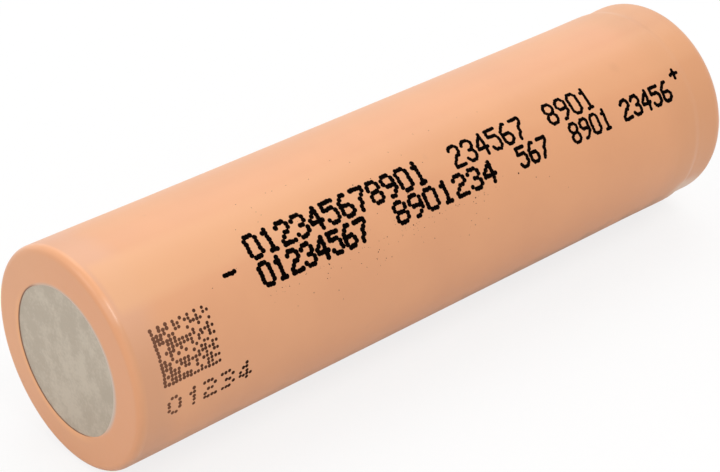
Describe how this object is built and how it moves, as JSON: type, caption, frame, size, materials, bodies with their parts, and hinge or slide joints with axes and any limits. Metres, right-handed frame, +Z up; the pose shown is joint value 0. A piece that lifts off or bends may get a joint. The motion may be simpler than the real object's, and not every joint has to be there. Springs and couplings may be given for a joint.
{
  "type": "cylindrical battery cell",
  "caption": "Round wound battery cell on its side in a shrink sleeve, its steel base bare in a round window and a flat pressed cap at the positive end.",
  "frame": {"origin": "on the cell's axis, in the middle of its length, where a holder grips the sleeve", "axes": "+X along the cell's axis towards the positive terminal, +Z up, the cell lying on its side"},
  "size_m": [0.0654, 0.0183, 0.0182],
  "materials": {
    "sleeve_film": "satin",
    "can_steel": "satin",
    "fibre": "matte",
    "seal_plastic": "satin",
    "bare_aluminium": "satin",
    "nickel": "satin",
    "insulator_sheet": "matte",
    "cathode_coating": "matte",
    "anode_coating": "matte",
    "separator_film": "matte",
    "amber_tape": "satin",
    "closing_tape": "satin"
  },
  "bodies": {
    "root": {"shrink_sleeve": "sleeve_film", "steel_can": "can_steel", "positive_cap": "can_steel", "insulating_washer": "fibre", "sealing_gasket": "seal_plastic", "disc_insulator": "seal_plastic", "burst_disc": "bare_aluminium", "weld_plate": "bare_aluminium", "cathode_tab": "bare_aluminium", "outer_anode_tab": "nickel", "inner_anode_tab": "nickel", "upper_insulator": "insulator_sheet", "lower_insulator": "insulator_sheet", "cathode_sheet": "cathode_coating", "anode_sheet": "anode_coating", "inner_separator": "separator_film", "outer_separator": "separator_film", "cathode_tab_tape": "amber_tape", "anode_tab_tape": "amber_tape", "closing_tape": "closing_tape"}
  },
  "joints": []
}
